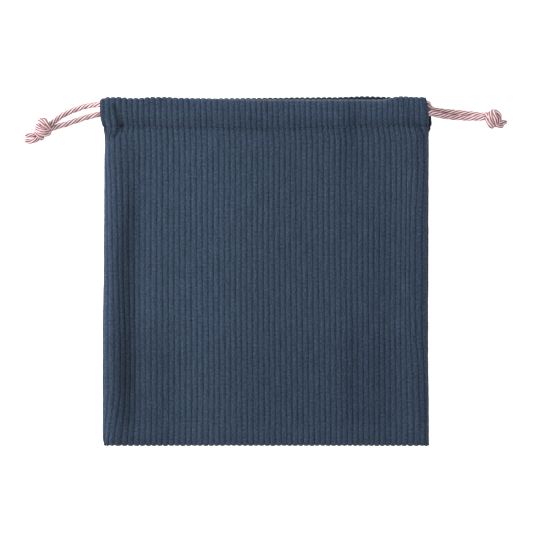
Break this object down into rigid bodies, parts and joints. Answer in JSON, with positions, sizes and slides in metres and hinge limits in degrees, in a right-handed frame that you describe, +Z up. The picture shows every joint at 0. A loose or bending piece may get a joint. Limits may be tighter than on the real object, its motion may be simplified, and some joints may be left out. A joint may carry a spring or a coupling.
{
  "type": "kinchaku drawstring pouch",
  "caption": "Flat corduroy drawstring pouch with a cord casing round its mouth and a knotted twisted cord drawn out at each side.",
  "frame": {"origin": "on the surface that the pouch lies on, below the middle of its two panels", "axes": "+X to the right across the front, +Y towards the mouth, +Z up through the pouch, from the back panel to the front"},
  "size_m": [0.2988, 0.213, 0.0178],
  "materials": {
    "corduroy": "matt wide-wale cotton pile",
    "twisted_cord": "soft matt three-ply twisted cotton"
  },
  "bodies": {
    "root": {"front_panel": "corduroy", "back_panel": "corduroy", "left_cord": "twisted_cord", "right_cord": "twisted_cord", "left_knot": "twisted_cord", "right_knot": "twisted_cord"}
  },
  "joints": []
}
